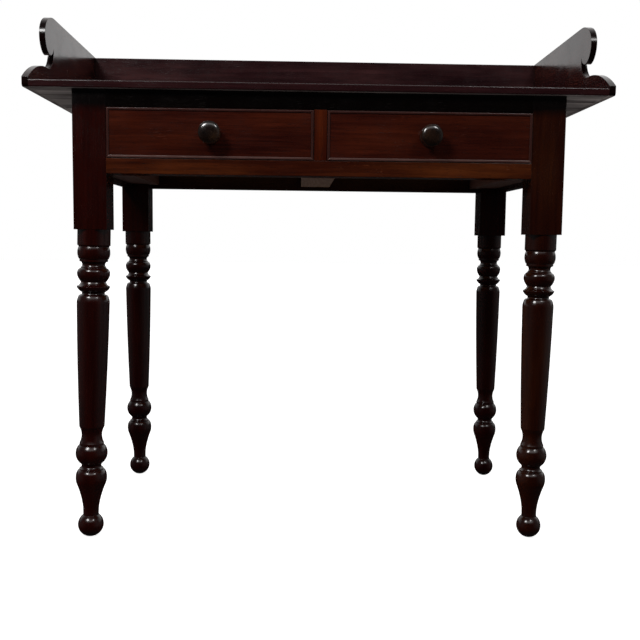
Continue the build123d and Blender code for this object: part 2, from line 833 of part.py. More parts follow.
def make_drawer_front(name, middle_x):
    """Drawer front: rebated for its bead, socketed for the sides, bored for the knob."""
    x0 = middle_x - drawer_width / 2
    x1 = middle_x + drawer_width / 2
    with BuildPart() as front:
        slab((x0, front_y + bead_depth, drawer_foot), (x1, drawer_front_back, drawer_front_top))
        slab(
            (x0 + bead_width, front_y, drawer_foot + bead_width),
            (x1 - bead_width, front_y + bead_depth, drawer_front_top - bead_width),
        )
        for low_x in (x0, x1 - drawer_side_thickness):
            slab(
                (low_x, front_y + drawer_lap, drawer_foot),
                (low_x + drawer_side_thickness, drawer_front_back, drawer_side_top), Mode.SUBTRACT,
            )
            with BuildSketch(Plane.YZ.offset(low_x)):
                front_pins()
            extrude(amount=drawer_side_thickness)
        slab(
            (x0 + drawer_side_thickness, drawer_front_back - groove_depth, bottom_top - groove_height),
            (x1 - drawer_side_thickness, drawer_front_back, bottom_top), Mode.SUBTRACT,
        )
        peg((middle_x, front_y, knob_z), (0, 1, 0), knob_tenon_r, drawer_front_thickness, Mode.SUBTRACT)
    save(front, f"{name}_front")


def make_drawer_side(name, low_x, groove_x):
    """Drawer side, tailed at both ends and grooved for the bottom."""
    with BuildPart() as side:
        slab(
            (low_x, front_y + drawer_lap, drawer_foot),
            (low_x + drawer_side_thickness, drawer_back, drawer_side_top),
        )
        fillet(side.edges().filter_by(Axis.Y).group_by(Axis.Z)[-1], arris)
        with BuildSketch(Plane.YZ.offset(low_x)):
            front_pins()
            rear_pins()
        extrude(amount=drawer_side_thickness, mode=Mode.SUBTRACT)
        slab(
            (groove_x, drawer_front_back - groove_depth, bottom_top - groove_height),
            (groove_x + groove_depth, drawer_back, bottom_top), Mode.SUBTRACT,
        )
    save(side, name)


def bottom_nail_places(middle_x):
    """Where the bottom's three nails go up into the drawer's back."""
    reach = drawer_width / 3
    y = drawer_back - drawer_side_thickness / 2
    return [(middle_x + shift, y, drawer_foot + bottom_recess) for shift in (-reach, 0, reach)]


def bottom_nails(middle_x, mode):
    """Nails of a drawer's bottom, or the holes they fill."""
    for place in bottom_nail_places(middle_x):
        peg(place, (0, 0, 1), nail_head_r, nail_head_thickness, mode)
        peg(place, (0, 0, 1), nail_shank_r, bottom_nail_length, mode)


def make_drawer_back(name, middle_x):
    """Drawer back, standing on the bottom boards, with pins at its ends."""
    x0 = middle_x - drawer_width / 2
    x1 = middle_x + drawer_width / 2
    with BuildPart() as back:
        slab(
            (x0 + drawer_side_thickness, drawer_back - drawer_side_thickness, bottom_top),
            (x1 - drawer_side_thickness, drawer_back, drawer_side_top),
        )
        fillet(back.edges().filter_by(Axis.X).group_by(Axis.Z)[-1], arris)
        for low_x in (x0, x1 - drawer_side_thickness):
            with BuildSketch(Plane.YZ.offset(low_x)):
                rear_pins()
            extrude(amount=drawer_side_thickness)
        bottom_nails(middle_x, Mode.SUBTRACT)
    save(back, f"{name}_back")


def make_bottom_board(name, middle_x, low_y, high_y):
    """One board of a drawer's bottom, feathered below to enter the grooves."""
    x0 = middle_x - drawer_width / 2 + drawer_side_thickness - groove_depth
    x1 = middle_x + drawer_width / 2 - drawer_side_thickness + groove_depth
    foot = bottom_top - bottom_thickness
    thin = bottom_top - bottom_edge
    front_edge = drawer_front_back - groove_depth
    with BuildPart() as board:
        with BuildSketch(Plane.XZ.offset(-low_y)):
            Polygon(
                (x0, bottom_top), (x0, thin), (x0 + bottom_bevel, foot),
                (x1 - bottom_bevel, foot), (x1, thin), (x1, bottom_top), align=None,
            )
        extrude(amount=-(high_y - low_y))
        with BuildSketch(Plane.YZ.offset(x0)):
            Polygon(
                (front_edge, bottom_top), (front_edge, thin), (front_edge + bottom_bevel, foot),
                (drawer_back, foot), (drawer_back, bottom_top), align=None,
            )
        extrude(amount=x1 - x0, mode=Mode.INTERSECT)
        bottom_nails(middle_x, Mode.SUBTRACT)
    save(board, name)


def make_bead(name, corners):
    """One mitred strip of cock bead, rounded where it stands proud."""
    with BuildPart() as bead:
        with BuildSketch(Plane.XZ.offset(-(front_y - bead_proud))):
            Polygon(*corners, align=None)
        extrude(amount=-(bead_proud + bead_depth))
        front_edges = bead.edges().group_by(Axis.Y)[0]
        fillet(front_edges.sort_by(Edge.length)[-2:], bead_round)
    save(bead, name)


def make_beads(name, middle_x):
    """The four strips of bead round a drawer front."""
    x0 = middle_x - drawer_width / 2
    x1 = middle_x + drawer_width / 2
    z0 = drawer_foot
    z1 = drawer_front_top
    inner_x0 = x0 + bead_width
    inner_x1 = x1 - bead_width
    inner_z0 = z0 + bead_width
    inner_z1 = z1 - bead_width
    make_bead(f"{name}_bead_top", [(x0, z1), (x1, z1), (inner_x1, inner_z1), (inner_x0, inner_z1)])
    make_bead(f"{name}_bead_bottom", [(x0, z0), (x1, z0), (inner_x1, inner_z0), (inner_x0, inner_z0)])
    make_bead(f"{name}_bead_left", [(x0, z0), (x0, z1), (inner_x0, inner_z1), (inner_x0, inner_z0)])
    make_bead(f"{name}_bead_right", [(x1, z0), (x1, z1), (inner_x1, inner_z1), (inner_x1, inner_z0)])


def make_knob(name, middle_x):
    """Turned knob: a domed head on a waisted neck, a collar and a tenon."""
    collar_round = knob_collar_r - 1.5
    neck_foot = knob_collar_thickness + 1.5
    head_foot = (knob_waist_from_face + knob_head_from_face) / 2
    face_plane = Plane(origin=(middle_x, front_y, knob_z), x_dir=(1, 0, 0), z_dir=(0, 0, 1))
    with BuildPart() as knob:
        with BuildSketch(face_plane):
            with BuildLine():
                Polyline(
                    (0, -knob_reach), (0, drawer_front_thickness), (knob_tenon_r, drawer_front_thickness),
                    (knob_tenon_r, 0), (knob_collar_r, 0), (knob_collar_r, -knob_collar_thickness),
                    (collar_round, -neck_foot),
                )
                Spline(
                    (collar_round, -neck_foot), (knob_waist_r, -knob_waist_from_face),
                    (knob_head_r - 3, -head_foot), tangents=((-1, -0.2), (1, -0.3)),
                )
                Spline(
                    (knob_head_r - 3, -head_foot), (knob_head_r, -knob_head_from_face), (0, -knob_reach),
                    tangents=((1, -0.3), (-1, 0)),
                )
            make_face()
        revolve(axis=Axis((middle_x, 0, knob_z), (0, 1, 0)))
    save(knob, f"{name}_knob")


def make_bottom_nails(name, middle_x):
    """The nails that hold a drawer's bottom to its back."""
    with BuildPart() as nails:
        bottom_nails(middle_x, Mode.ADD)
    save(nails, f"{name}_bottom_nails")


def make_drawer(name, middle_x):
    """All the pieces of one drawer, closed in its bay."""
    x0 = middle_x - drawer_width / 2
    x1 = middle_x + drawer_width / 2
    make_drawer_front(name, middle_x)
    make_drawer_side(f"{name}_side_left", x0, x0 + drawer_side_thickness - groove_depth)
    make_drawer_side(f"{name}_side_right", x1 - drawer_side_thickness, x1 - drawer_side_thickness)
    make_drawer_back(name, middle_x)
    joint_y = front_y + front_board_share * drawer_length
    make_bottom_board(f"{name}_bottom_front", middle_x, drawer_front_back - groove_depth, joint_y)
    make_bottom_board(f"{name}_bottom_rear", middle_x, joint_y, drawer_back)
    make_bottom_nails(name, middle_x)
    make_beads(name, middle_x)
    make_knob(name, middle_x)


make_drawer("drawer_left", -bay_mid_x)
make_drawer("drawer_right", bay_mid_x)
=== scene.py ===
import bpy
from math import pi
from mathutils import Euler, Matrix, Vector


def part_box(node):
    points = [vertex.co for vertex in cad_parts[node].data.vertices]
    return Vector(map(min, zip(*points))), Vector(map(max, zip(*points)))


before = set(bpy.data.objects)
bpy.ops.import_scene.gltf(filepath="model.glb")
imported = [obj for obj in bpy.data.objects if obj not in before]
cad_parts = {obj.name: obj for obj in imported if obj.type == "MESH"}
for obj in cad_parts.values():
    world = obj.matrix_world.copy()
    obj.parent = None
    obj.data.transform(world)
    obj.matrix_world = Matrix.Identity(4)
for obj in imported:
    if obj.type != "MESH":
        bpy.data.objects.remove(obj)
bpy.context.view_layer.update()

# ------------------------------------------------------------------------- legs
# Four legs, each one stick of full 2 in mahogany: square where the rails and aprons are
# tenoned into it, and turned below in beads, coves, a taper, a vase and a ball foot.
# Stained nearly black-red and polished with shellac. The hollows of the turning are darkened,
# partly by dirt and partly as painted shade; the heads are painted black as a painted shadow of
# the top's overhang, and the rear legs get darker tones as painted shade.
GRAIN_TURNS = {"X": Euler((0, 0, 0)), "Y": Euler((0, 0, -pi / 2)), "Z": Euler((0, pi / 2, 0))}
GRAIN_WAYS = {"X": (1, 0, 0), "Y": (0, 1, 0), "Z": (0, 0, 1)}
FIGURE = ("Rings", "Streaks", "Ribbons", "Pores", "Clouds")


def feed(tree, node, inputs):
    """Links each input that is given as a socket, and sets any other."""
    for name, value in inputs.items():
        if isinstance(value, bpy.types.NodeSocket):
            tree.links.new(value, node.inputs[name])
        else:
            node.inputs[name].default_value = value


def put(tree, kind, inputs=None, **settings):
    """Adds a node with its settings and its inputs."""
    node = tree.nodes.new(kind)
    for name, value in settings.items():
        setattr(node, name, value)
    feed(tree, node, inputs or {})
    return node


def work_out(tree, operation, first, *others):
    """A sum on one value, or on several in turn."""
    for other in others or (0.0,):
        first = put(tree, "ShaderNodeMath", {0: first, 1: other}, operation=operation).outputs[0]
    return first


def product(tree, *values):
    """All the values multiplied together."""
    return work_out(tree, "MULTIPLY", *values)


def spread(tree, value, limits, results=(0.0, 1.0)):
    """Stretches a value between two limits to run from the first result to the second."""
    return put(tree, "ShaderNodeMapRange", {
        "Value": value, "From Min": limits[0], "From Max": limits[1],
        "To Min": results[0], "To Max": results[1],
    }).outputs[0]


def blend_colours(tree, share, first, second):
    """Mixes two colours by a share of the second."""
    colours = {0: share, 6: first, 7: second}
    return put(tree, "ShaderNodeMix", colours, data_type="RGBA").outputs[2]


def blend_values(tree, share, first, second):
    """Mixes two values by a share of the second."""
    values = {0: share, 2: first, 3: second}
    return put(tree, "ShaderNodeMix", values, data_type="FLOAT").outputs[0]


def vector_sum(tree, operation, first, second, output="Vector"):
    """One sum on two vectors."""
    vectors = {0: first, 1: second}
    return put(tree, "ShaderNodeVectorMath", vectors, operation=operation).outputs[output]


def point(tree, what="Object"):
    """A point's place on its object, its normal there, or its direction in the sky."""
    return put(tree, "ShaderNodeTexCoord").outputs[what]


def parts_of(tree, vector):
    """The X, Y and Z of a vector."""
    return put(tree, "ShaderNodeSeparateXYZ", {0: vector}).outputs


def stretch(tree, where, times):
    """Coordinates in which a pattern comes out this many times longer along the grain."""
    return vector_sum(tree, "MULTIPLY", where, (1 / times, 1, 1))


def cloud(tree, where, size, longer=1, detail=2.0, roughness=0.5):
    """Soft noise whose spots are about this many metres across, and this many times
    longer along the grain."""
    if longer != 1:
        where = stretch(tree, where, longer)
    return put(tree, "ShaderNodeTexNoise", {
        "Vector": where, "Scale": 1 / size, "Detail": detail, "Roughness": roughness,
    }).outputs[0]


def opaque(colour, share=1):
    """A colour with its alpha, made darker where a share is given."""
    return (*(part * share for part in colour), 1)


def new_group(name, inputs, outputs):
    """An empty node group; returns it, what it is given and the node for what it makes."""
    group = bpy.data.node_groups.new(name, "ShaderNodeTree")
    for way, sockets in (("INPUT", inputs), ("OUTPUT", outputs)):
        for socket_name, kind in sockets.items():
            socket_type = "NodeSocket" + kind
            group.interface.new_socket(name=socket_name, in_out=way, socket_type=socket_type)
    given = group.nodes.new("NodeGroupInput").outputs
    made = group.nodes.new("NodeGroupOutput")
    return group, given, made


def make_wood_grain():
    """Growth rings round the log's heart, fine streaks, broad ribbons, pores and clouds."""
    group, given, made = new_group(
        "wood_grain",
        {"Coordinates": "Vector", "Ring Spacing": "Float", "Wander": "Float"},
        dict.fromkeys(FIGURE, "Float"),
    )
    bends_per_metre = 11
    noise_middle = (0.5, 0.5, 0.5)
    spacing_at_scale_one = pi / 10
    where = given["Coordinates"]
    bends = put(group, "ShaderNodeTexNoise", {
        "Vector": stretch(group, where, 6), "Scale": bends_per_metre, "Detail": 2,
    }).outputs[1]
    centred = vector_sum(group, "SUBTRACT", bends, noise_middle)
    offset = put(
        group, "ShaderNodeVectorMath", {0: centred, "Scale": given["Wander"]}, operation="SCALE"
    ).outputs[0]
    bent = vector_sum(group, "ADD", where, offset)
    scale = work_out(group, "DIVIDE", spacing_at_scale_one, given["Ring Spacing"])
    rings = put(
        group, "ShaderNodeTexWave", {"Vector": bent, "Scale": scale, "Detail": 0},
        wave_type="RINGS", rings_direction="X", wave_profile="SAW",
    ).outputs[1]
    streaks = cloud(group, bent, size=0.0045, longer=26, detail=4, roughness=0.7)
    ribbons = cloud(group, bent, size=0.018, longer=8, detail=3, roughness=0.6)
    pores = cloud(group, bent, size=0.0007, longer=14, detail=1)
    clouds = cloud(group, where, size=0.07, longer=3)
    feed(group, made, {
        "Rings": rings,
        "Streaks": spread(group, streaks, (0.34, 0.66)),
        "Ribbons": spread(group, ribbons, (0.33, 0.67)),
        "Pores": spread(group, pores, (0.58, 0.72)),
        "Clouds": spread(group, clouds, (0.3, 0.7)),
    })
    return group


def make_stained_colour():
    """The colour of stained wood, from its grain and three tones of the stain."""
    group, given, made = new_group(
        "stained_colour",
        {**dict.fromkeys(FIGURE, "Float"), "Deep": "Color", "Middle": "Color", "Warm": "Color",
         "Ring Depth": "Float", "Mottle": "Float"},
        {"Colour": "Color"},
    )
    most_warmth, pore_depth = 0.75, 0.5
    pore_black = (0.004, 0.002, 0.002, 1)
    streaked = blend_colours(group, given["Streaks"], given["Deep"], given["Middle"])
    warmth = product(group, given["Clouds"], most_warmth)
    warmed = blend_colours(group, warmth, streaked, given["Warm"])
    dull = product(group, work_out(group, "SUBTRACT", 1.0, given["Ribbons"]), given["Mottle"])
    ribboned = blend_colours(group, dull, warmed, given["Deep"])
    ring_share = product(group, given["Rings"], given["Ring Depth"])
    ringed = blend_colours(group, ring_share, ribboned, given["Deep"])
    pored = blend_colours(group, product(group, given["Pores"], pore_depth), ringed, pore_black)
    feed(group, made, {"Colour": pored})
    return group


def make_edge_rub():
    """Where the finish has rubbed thin along the arrises, in broken stretches."""
    group, given, made = new_group(
        "edge_rub", {"Coordinates": "Vector", "Radius": "Float"},
        {"Rub": "Float", "Soft Normal": "Vector"},
    )
    soft = put(group, "ShaderNodeBevel", {"Radius": given["Radius"]}, samples=4).outputs[0]
    flat = put(group, "ShaderNodeNewGeometry").outputs["Normal"]
    facing = vector_sum(group, "DOT_PRODUCT", soft, flat, output="Value")
    arrises = spread(group, facing, (0.99, 0.8))
    patches = cloud(group, given["Coordinates"], size=0.018, detail=4, roughness=0.65)
    rub = product(group, arrises, spread(group, patches, (0.38, 0.62)))
    feed(group, made, {"Rub": rub, "Soft Normal": soft})
    return group


def make_hollow_dirt_and_shade():
    """Darkening in hollows and inside corners, found by ambient occlusion: partly wax and dust
    settled there, partly painted shade.
    """
    group, given, made = new_group(
        "hollow_dirt_and_shade", {"Coordinates": "Vector", "Reach": "Float"}, {"Dirt And Shade": "Float"}
    )
    open_share = put(
        group, "ShaderNodeAmbientOcclusion", {"Distance": given["Reach"]}, samples=6
    ).outputs["AO"]
    hollows = spread(group, open_share, (0.9, 0.35))
    patches = cloud(group, given["Coordinates"], size=0.012, detail=3)
    dirt_and_shade = product(group, hollows, spread(group, patches, (0.25, 0.7), (0.35, 1.0)))
    feed(group, made, {"Dirt And Shade": dirt_and_shade})
    return group


def make_polish():
    """Old polish: its gloss and relief, with ripples, brush lines and handling marks."""
    group, given, made = new_group(
        "polish",
        {"Coordinates": "Vector", "Pores": "Float", "Gloss": "Float"},
        {"Roughness": "Float", "Height": "Float"},
    )
    pore_dulling = 0.08
    brush_height, ripple_height, pore_depth = 0.25, 0.9, 0.35
    smears = cloud(group, given["Coordinates"], size=0.045, detail=3, roughness=0.6)
    brushed = cloud(group, given["Coordinates"], size=0.0011, longer=40, detail=2)
    ripples = cloud(group, given["Coordinates"], size=0.009, detail=1)
    rough = work_out(
        group, "ADD", given["Gloss"],
        spread(group, smears, (0.35, 0.75), (-0.03, 0.07)),
        spread(group, brushed, (0.35, 0.7), (0.0, 0.05)),
        product(group, given["Pores"], pore_dulling),
    )
    raised = work_out(
        group, "ADD", product(group, brushed, brush_height), product(group, ripples, ripple_height)
    )
    height = work_out(group, "SUBTRACT", raised, product(group, given["Pores"], pore_depth))
    feed(group, made, {"Roughness": rough, "Height": height})
    return group


def make_scratches():
    """Fine scratches, most of them along the grain."""
    group, given, made = new_group("scratches", {"Coordinates": "Vector"}, {"Scratch": "Float"})
    layers = []
    for slant, patch_size in ((0.06, 0.06), (-0.16, 0.08)):
        where = put(group, "ShaderNodeMapping", {
            "Vector": given["Coordinates"], "Rotation": (slant, slant, slant),
        }).outputs[0]
        hairs = cloud(group, where, size=0.0009, longer=55, detail=0)
        patches = cloud(group, where, size=patch_size, detail=1)
        layers.append(product(
            group, spread(group, hairs, (0.72, 0.8)), spread(group, patches, (0.58, 0.68))
        ))
    feed(group, made, {"Scratch": work_out(group, "MAXIMUM", *layers)})
    return group


def make_end_grain():
    """How far a face cuts across the grain, where wood drinks more stain."""
    group, given, made = new_group("end_grain", {"Grain Way": "Vector"}, {"Share": "Float"})
    normal = point(group, "Normal")
    facing = vector_sum(group, "DOT_PRODUCT", normal, given["Grain Way"], output="Value")
    across = work_out(group, "ABSOLUTE", facing)
    feed(group, made, {"Share": spread(group, across, (0.15, 0.75))})
    return group


wood_grain = make_wood_grain()
stained_colour = make_stained_colour()
edge_rub = make_edge_rub()
hollow_dirt_and_shade = make_hollow_dirt_and_shade()
polish = make_polish()
scratches = make_scratches()
end_grain = make_end_grain()


def new_material(name):
    """A material with its Principled shader, ready for its nodes."""
    material = bpy.data.materials.new(name)
    material.use_nodes = True
    return material, material.node_tree, material.node_tree.nodes["Principled BSDF"]


def along_grain(tree, node, grain, heart):
    """Object coordinates with X along the grain and the log's heart at the origin. heart
    leads from the middle of the piece to the heart of the log that it came from."""
    low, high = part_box(node)
    turn = GRAIN_TURNS[grain]
    shift = -(turn.to_matrix() @ ((low + high) / 2 + Vector(heart)))
    return put(tree, "ShaderNodeMapping", {
        "Vector": point(tree), "Rotation": turn, "Location": shift,
    }).outputs[0]


def use_group(tree, group, inputs):
    """Places a node group in a material with that material's own values."""
    return put(tree, "ShaderNodeGroup", inputs, node_tree=group).outputs


def dress(node, material):
    """Gives a CAD node its material."""
    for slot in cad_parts[node].material_slots:
        slot.material = material


RELIEF_DEPTH = 0.0004
WANDER, RING_DEPTH = 0.02, 0.35
END_SHADE = 0.25
RUBBED_RADIUS = 0.0007
RUBBED_GAIN, RUBBED_LIFT = 2.2, 0.006
SCRATCH_SHOWS = 0.18
DIRT_AND_SHADE_REACH, DIRT_AND_SHADE_SHOWS = 0.012, 0.75
DIRT_AND_SHADE_BLACK = (0.002, 0.001, 0.001, 1)
DIRT_DULLS, SCRATCH_DULLS, RUB_DULLS = 0.12, 0.15, 0.15
PAINTED_SHADOW_WAVER, PAINTED_SHADOW_FADE, DARKEST_PAINTED_SHADOW = 0.004, (-0.008, 0.006), 1.3
RAW_STREAK_SHADE, RAW_GLUE_SHADE, RAW_DIRT_AND_SHADE_TONE = 0.7, 0.3, 0.2
RAW_DIRT_AND_SHADE_SHOWS, RAW_ROUGHNESS = 0.6, 0.75
POLISH_IOR, TOPCOAT_ROUGHNESS = 1.5, 0.11


def polish_wood(node, grain, heart, tones, gloss=0.2, rings=0.0045, rub=0.5, mottle=0.5,
                end_dark=0.5, ripple=0.35, topcoat=0.0, raw=None, painted_shadow_above=None):
    """Makes one CAD node stained and polished show wood. tones are the stain's deep,
    middle and warm colours. gloss is the polish's roughness and rings the spacing of the
    growth rings. rub, mottle, end_dark and ripple are how strongly worn arrises, dark
    ribbons, dark end grain and ripples show. topcoat is the share of a second, glossier
    coat. raw is the colours of an underside that was never finished and the place of a
    glue line across it. The last argument is a height above which the wood is painted
    black, a painted shadow of the top's overhang; hollows are darkened with dirt and
    painted shade."""
    deep, middle, warm = tones
    material, tree, shader = new_material("polished_" + node)
    where = along_grain(tree, node, grain, heart)
    figure = use_group(
        tree, wood_grain, {"Coordinates": where, "Ring Spacing": rings, "Wander": WANDER}
    )
    colour = use_group(tree, stained_colour, {
        **{name: figure[name] for name in FIGURE}, "Ring Depth": RING_DEPTH, "Mottle": mottle,
        "Deep": opaque(deep), "Middle": opaque(middle), "Warm": opaque(warm),
    })["Colour"]
    ends = use_group(tree, end_grain, {"Grain Way": GRAIN_WAYS[grain]})["Share"]
    end_share = product(tree, ends, end_dark)
    colour = blend_colours(tree, end_share, colour, opaque(deep, END_SHADE))

    rubbed = opaque(min(1.0, RUBBED_GAIN * part + RUBBED_LIFT) for part in warm)
    worn = use_group(tree, edge_rub, {"Coordinates": where, "Radius": RUBBED_RADIUS})
    colour = blend_colours(tree, product(tree, worn["Rub"], rub), colour, rubbed)
    scratch = use_group(tree, scratches, {"Coordinates": where})["Scratch"]
    colour = blend_colours(tree, product(tree, scratch, SCRATCH_SHOWS), colour, rubbed)

    dirt_and_shade = use_group(tree, hollow_dirt_and_shade, {"Coordinates": where, "Reach": DIRT_AND_SHADE_REACH})["Dirt And Shade"]
    coat = use_group(
        tree, polish, {"Coordinates": where, "Pores": figure["Pores"], "Gloss": gloss}
    )
    rough = work_out(
        tree, "ADD", coat["Roughness"], product(tree, dirt_and_shade, DIRT_DULLS),
        product(tree, scratch, SCRATCH_DULLS), product(tree, worn["Rub"], RUB_DULLS),
    )
    # Painted shadow: above the given height the wood is blackened, standing for the shade under
    # the top's overhang.
    if painted_shadow_above:
        uneven = spread(tree, figure["Clouds"], (0, 1), (-PAINTED_SHADOW_WAVER, PAINTED_SHADOW_WAVER))
        height = work_out(tree, "ADD", parts_of(tree, point(tree))["Z"], uneven)
        limits = (painted_shadow_above + PAINTED_SHADOW_FADE[0], painted_shadow_above + PAINTED_SHADOW_FADE[1])
        painted_shadow = spread(tree, height, limits, (0.0, DARKEST_PAINTED_SHADOW))
        dirt_and_shade = work_out(tree, "MAXIMUM", dirt_and_shade, painted_shadow)
    # Blackens hollows and corners, partly dirt and partly painted shade, and the painted shadow
    # under the top's overhang.
    colour = blend_colours(tree, product(tree, dirt_and_shade, DIRT_AND_SHADE_SHOWS), colour, DIRT_AND_SHADE_BLACK)

    if raw:
        early, late, glue_line = raw
        below = spread(tree, parts_of(tree, point(tree, "Normal"))["Z"], (-0.97, -0.995))
        planks = blend_colours(tree, figure["Ribbons"], opaque(early), opaque(late))
        streaks = product(tree, figure["Streaks"], figure["Clouds"])
        planks = blend_colours(tree, streaks, planks, opaque(late, RAW_STREAK_SHADE))
        across = parts_of(tree, point(tree))["Y"]
        from_glue = work_out(tree, "ABSOLUTE", work_out(tree, "SUBTRACT", across, glue_line))
        glue = spread(tree, from_glue, (0.004, 0.0015), (0.0, 0.8))
        planks = blend_colours(tree, glue, planks, opaque(late, RAW_GLUE_SHADE))
        # Hollows of the raw underside are darkened, partly dirt and partly painted shade.
        settled_dirt_and_shade = product(tree, dirt_and_shade, RAW_DIRT_AND_SHADE_SHOWS)
        planks = blend_colours(tree, settled_dirt_and_shade, planks, opaque(late, RAW_DIRT_AND_SHADE_TONE))
        colour = blend_colours(tree, below, colour, planks)
        rough = blend_values(tree, below, rough, RAW_ROUGHNESS)

    relief = put(tree, "ShaderNodeBump", {
        "Height": coat["Height"], "Strength": ripple, "Distance": RELIEF_DEPTH,
        "Normal": worn["Soft Normal"],
    }).outputs[0]
    feed(tree, shader, {
        "Base Color": colour, "Roughness": rough, "Normal": relief, "IOR": POLISH_IOR,
        "Coat Weight": topcoat, "Coat Roughness": TOPCOAT_ROUGHNESS,
    })
    dress(node, material)


RED_LEG = ((0.011, 0.0005, 0.0004), (0.034, 0.0018, 0.0012), (0.046, 0.0045, 0.0015))
BROWN_LEG = ((0.014, 0.001, 0.0005), (0.038, 0.005, 0.0014), (0.066, 0.016, 0.003))
# Painted shade: the rear legs' tones are a darker copy, for legs that stand in the shade of the
# top and aprons.
REAR_LEG_PAINTED_SHADE = ((0.008, 0.0004, 0.0003), (0.026, 0.0013, 0.0009), (0.035, 0.0033, 0.0011))
LEGS = {
    "leg_front_left": ((0.06, 0.085, 0.0), RED_LEG, 0.3),
    "leg_front_right": ((0.025, 0.085, 0.2), BROWN_LEG, 0.34),
    "leg_rear_left": ((-0.01, 0.085, 0.4), REAR_LEG_PAINTED_SHADE, 0.18),
    "leg_rear_right": ((-0.045, 0.085, 0.6), REAR_LEG_PAINTED_SHADE, 0.04),
}
# The foot of the upper rail: above it the legs are painted black, a painted shadow of the top's
# overhang.
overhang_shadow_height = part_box("front_rail_upper")[0].z
for node, (heart, tones, topcoat) in LEGS.items():
    polish_wood(
        node, "Z", heart, tones, gloss=0.15, rings=0.003, mottle=0.6, end_dark=0.25, ripple=0.1,
        topcoat=topcoat, painted_shadow_above=overhang_shadow_height,
    )

# ------------------------------------------------------------------ front frame
# Two flat rails of redder mahogany between the front legs, the upper one dovetailed
# down and the lower one on twin tenons, with a short upright tenoned between them.
# The upper rail is painted near black, a painted shadow of the top's overhang.
RAIL_STAIN = ((0.028, 0.0035, 0.0015), (0.112, 0.02, 0.006), (0.2, 0.048, 0.01))
DIVIDER_STAIN = ((0.032, 0.0028, 0.0012), (0.095, 0.0115, 0.0033), (0.165, 0.028, 0.005))
# Painted shadow: near-black tones for the upper rail, which sits in the shade of the top's
# overhang.
PAINTED_SHADOW_STAIN = ((0.0008, 0.0004, 0.0003), (0.002, 0.0007, 0.0005), (0.003, 0.001, 0.0006))
polish_wood(
    "front_rail_upper", "X", (0.1, 0.05, -0.09), PAINTED_SHADOW_STAIN, gloss=0.13, rub=0.1, ripple=0.1
)
polish_wood(
    "front_rail_lower", "X", (-0.2, 0.08, 0.05), RAIL_STAIN, gloss=0.14, mottle=0.65, ripple=0.2
)
polish_wood(
    "drawer_divider", "Z", (0.03, 0.09, 0.0), DIVIDER_STAIN, gloss=0.14, mottle=0.6, ripple=0.2
)

# ----------------------------------------------------------------------- aprons
# Inch boards of mahogany on edge, tenoned into the legs at the sides and the back, and
# stained and polished with the legs; the back one is painted darker, as painted shade.
APRON_STAIN = ((0.012, 0.0024, 0.0018), (0.034, 0.0065, 0.0038), (0.05, 0.0115, 0.0055))
# Painted shade: the back apron's tones are a darker copy of the aprons' stain.
BACK_APRON_PAINTED_SHADE = ((0.008, 0.0012, 0.0011), (0.024, 0.0034, 0.0027), (0.034, 0.006, 0.0036))
polish_wood("side_apron_left", "Y", (0.10, 0.1, 0.03), APRON_STAIN)
polish_wood("side_apron_right", "Y", (-0.11, 0.0, -0.02), APRON_STAIN)
polish_wood("back_apron", "X", (0.2, -0.11, 0.02), BACK_APRON_PAINTED_SHADE, gloss=0.14, ripple=0.2)

# ------------------------------------------------- runners, guides and kickers
# Strips off the saw and plane, never finished, under, beside and over the drawers:
# pale softwood gone grey in the middle, and offcuts brown with old stain at the sides.
PALE_STRIP = ((0.26, 0.125, 0.067), (0.165, 0.073, 0.036), (0.14, 0.063, 0.034))
BROWN_STRIP = ((0.14, 0.05, 0.032), (0.075, 0.026, 0.017), (0.06, 0.024, 0.017))
BARE_RINGS, BARE_WANDER = 0.004, 0.03
LATE_RING_POWER, LATE_RING_SHARE = 2.0, 0.8
LATE_STREAK_SHARE, AGED_SHARE = 0.45, 0.4
BARE_RADIUS, BARE_DIRT_AND_SHADE_REACH = 0.001, 0.02
RUB_DARKENS, DIRT_AND_SHADE_DARKEN, ENDS_DARKEN, DARKENED_SHADE = 0.5, 0.7, 0.45, 0.25
RING_HEIGHT, BARE_RELIEF = 0.35, 0.4
BARE_SPECULAR = 0.25


